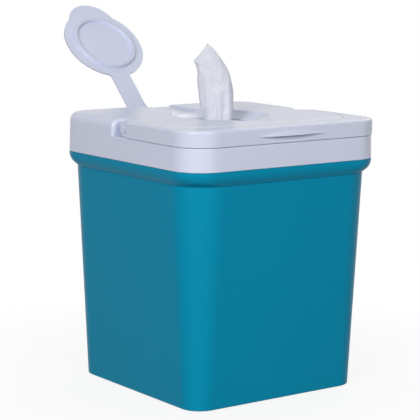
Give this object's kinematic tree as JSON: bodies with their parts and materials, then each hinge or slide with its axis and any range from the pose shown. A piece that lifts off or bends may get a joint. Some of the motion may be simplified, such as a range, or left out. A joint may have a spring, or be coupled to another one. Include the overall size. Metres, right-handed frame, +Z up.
{
  "type": "wipes dispenser",
  "caption": "Square tapered tub with a lift-off lid, a fold-down carry handle, a hinged flip cap and a slit orifice that wipes are pulled through.",
  "frame": {"origin": "centre of the tub's base, on the surface it stands on", "axes": "+Z up; -Y is the front, where the carry handle's finger lift is; +Y is the back edge, where the flip cap is hinged"},
  "size_m": [0.2006, 0.3209, 0.3154],
  "materials": {
    "tub_teal": "satin moulded teal",
    "lid_white": "satin moulded cool white",
    "handle_white": "satin moulded cool white",
    "cap_white": "satin moulded cool white",
    "pin_plastic": "moulded cool white",
    "retainer_plastic": "moulded cool white",
    "orifice_rubber": "soft translucent white elastomer",
    "seal_rubber": "soft white elastomer",
    "roll_fabric": "nonwoven sheet, wound",
    "wipe_fabric": "damp nonwoven sheet"
  },
  "bodies": {
    "tub_body": {"tub": "tub_teal", "wipes_roll": "roll_fabric"},
    "lid_body": {"lid": "lid_white", "lid_gasket": "seal_rubber", "orifice_diaphragm": "orifice_rubber", "orifice_retainer": "retainer_plastic", "left_handle_pin": "pin_plastic", "right_handle_pin": "pin_plastic", "cap_hinge_pin": "pin_plastic", "feed_strand": "wipe_fabric", "pulled_wipe": "wipe_fabric"},
    "handle_body": {"carry_handle": "handle_white"},
    "cap_body": {"flip_cap": "cap_white", "cap_seal_ring": "seal_rubber"}
  },
  "joints": [
    {"name": "lid_lift", "type": "slide", "parent": "tub_body", "child": "lid_body", "axis": [0, 0, 1], "range_m": [0, 0.08]},
    {"name": "handle_swing", "type": "hinge", "parent": "lid_body", "child": "handle_body", "pos_m": [0, 0.003, 0.22345], "axis": [-1, 0, 0], "range_deg": [0, 122]},
    {"name": "cap_hinge", "type": "hinge", "parent": "lid_body", "child": "cap_body", "pos_m": [0, 0.1013, 0.2182], "axis": [1, 0, 0], "range_deg": [0, 135.7], "deforming": ["pulled_wipe"]}
  ]
}
